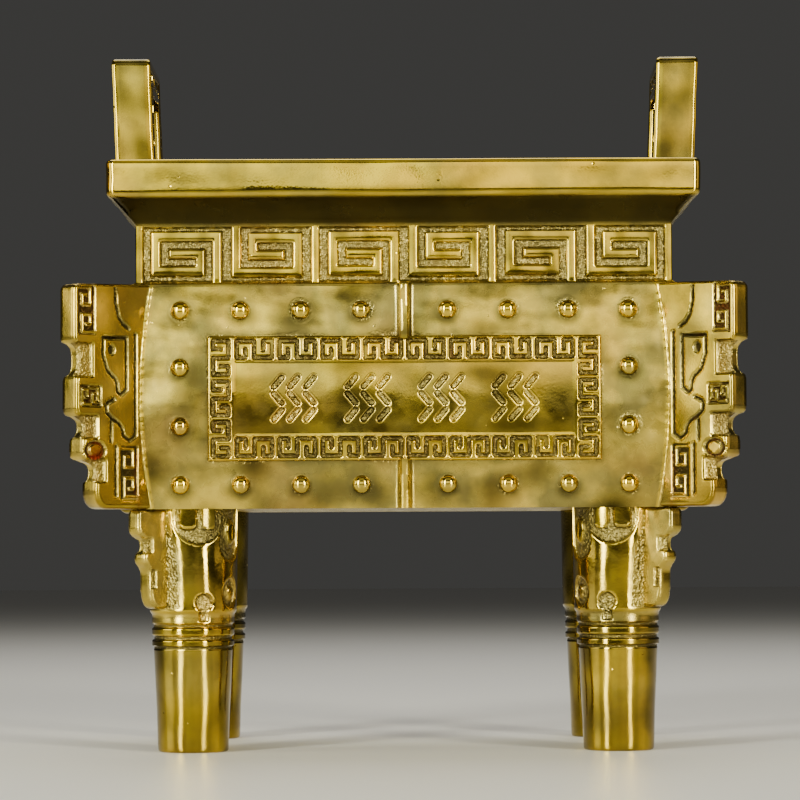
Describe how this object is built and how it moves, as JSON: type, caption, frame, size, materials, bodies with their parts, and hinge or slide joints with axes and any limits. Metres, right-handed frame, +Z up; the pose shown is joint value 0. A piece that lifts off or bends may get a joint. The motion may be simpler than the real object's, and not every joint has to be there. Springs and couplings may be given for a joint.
{
  "type": "square ding vessel",
  "caption": "Four-legged rectangular cast brass vessel with loop ears, fret-carved neck, bossed walls, a raised panel and notched corner flanges.",
  "frame": {"origin": "on the floor, below the centre of the vessel", "axes": "+Z up, +X along the long sides towards one ear, +Y towards the back; the inscribed panel faces -Y"},
  "size_m": [0.1904, 0.1424, 0.1997],
  "materials": {
    "cast_brass": "hand-polished high faces, satin walls, dull sandy sunk grounds with brown oxide"
  },
  "bodies": {
    "root": {"ding": "cast_brass"}
  },
  "joints": []
}
